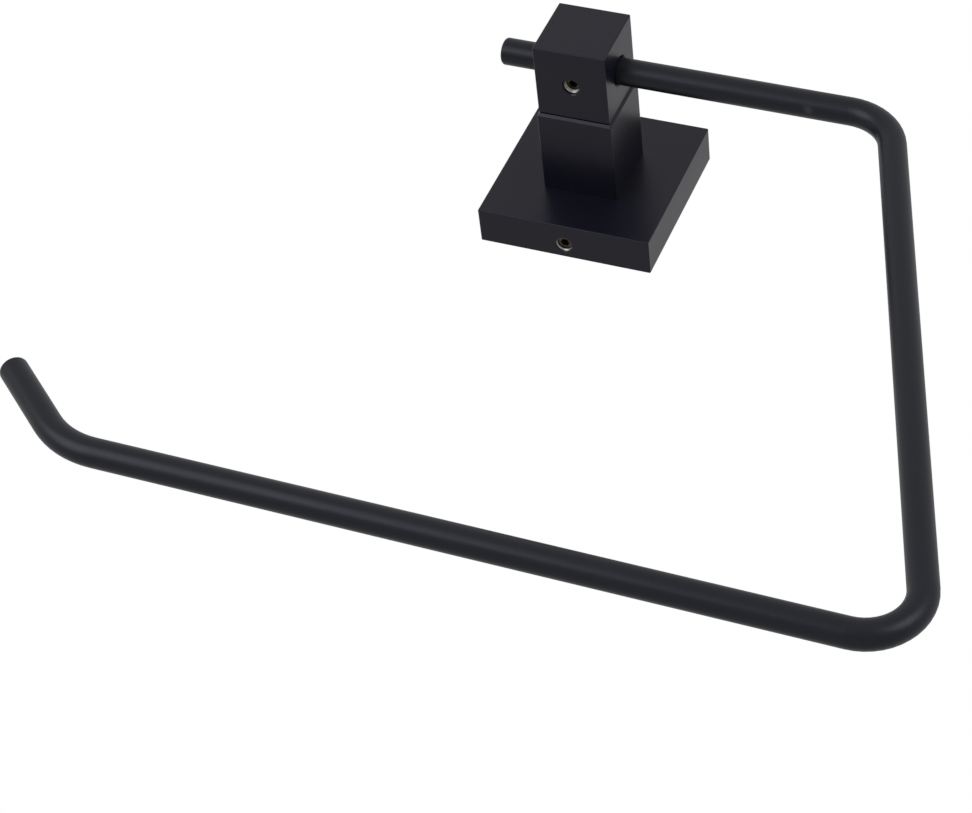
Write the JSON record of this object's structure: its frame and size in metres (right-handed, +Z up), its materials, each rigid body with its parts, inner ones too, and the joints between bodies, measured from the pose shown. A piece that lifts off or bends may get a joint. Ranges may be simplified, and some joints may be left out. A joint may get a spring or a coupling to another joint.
{
  "type": "towel ring",
  "caption": "Wall-mounted towel ring: square flange and post with one bent round rod, an open ring with a slanted side and an upturned tip.",
  "frame": {"origin": "centre of the flange's wall face, midway between the two wall-screw holes", "axes": "+Z up, +Y into the wall, so the post stands out along -Y; +X is to the right seen from the room, towards the ring's closed side"},
  "size_m": [0.2627, 0.065, 0.2179],
  "materials": {
    "black_coat": "matte",
    "black_rod": "matte",
    "bare_steel": "satin",
    "zinc_plate": "satin"
  },
  "bodies": {
    "root": {"wall_bracket": "zinc_plate", "flange_cover": "black_coat", "neck_post": "black_coat", "head_block": "black_coat", "ring_rod": "black_rod", "post_screw": "bare_steel", "post_washer": "bare_steel", "head_grub_screw": "bare_steel", "flange_grub_screw": "bare_steel"}
  },
  "joints": []
}
